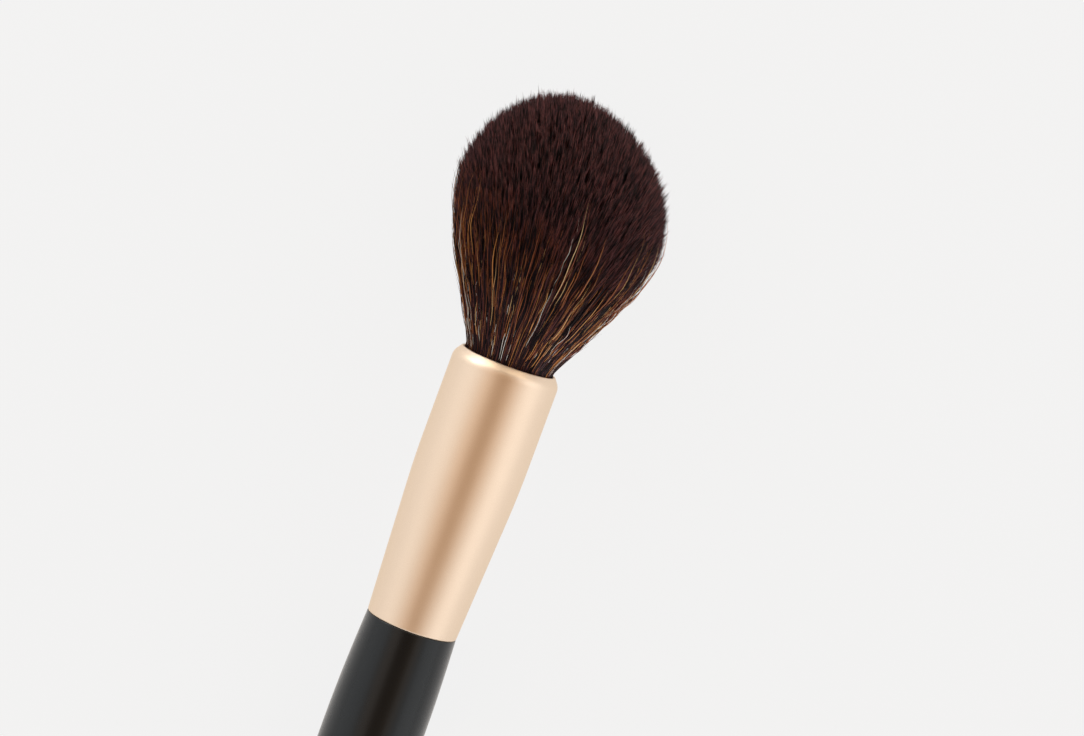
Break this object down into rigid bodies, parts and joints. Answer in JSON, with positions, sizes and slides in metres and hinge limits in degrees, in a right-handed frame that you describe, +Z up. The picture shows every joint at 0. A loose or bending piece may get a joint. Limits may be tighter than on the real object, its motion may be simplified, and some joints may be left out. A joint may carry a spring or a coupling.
{
  "type": "blush brush",
  "caption": "Round blush brush with a domed head of dark hair, a champagne metal ferrule and a black turned handle, lying on a table.",
  "frame": {"origin": "on the table, at the centre of the lying brush's outline seen from above", "axes": "+Z up from the table, +X from the tail towards the crown of the hair, +Y to the side that the crown leans to; the brush's own axis rises 3.8 degrees towards +X"},
  "size_m": [0.1712, 0.0292, 0.0281],
  "materials": {
    "hair": "satin",
    "thread": "matte",
    "resin": "gloss",
    "ferrule": "satin",
    "glue": "satin",
    "handle": "satin"
  },
  "bodies": {
    "root": {"hair_head": "hair", "root_binding": "thread", "root_resin": "resin", "ferrule": "ferrule", "tenon_glue": "glue", "handle": "handle"}
  },
  "joints": []
}
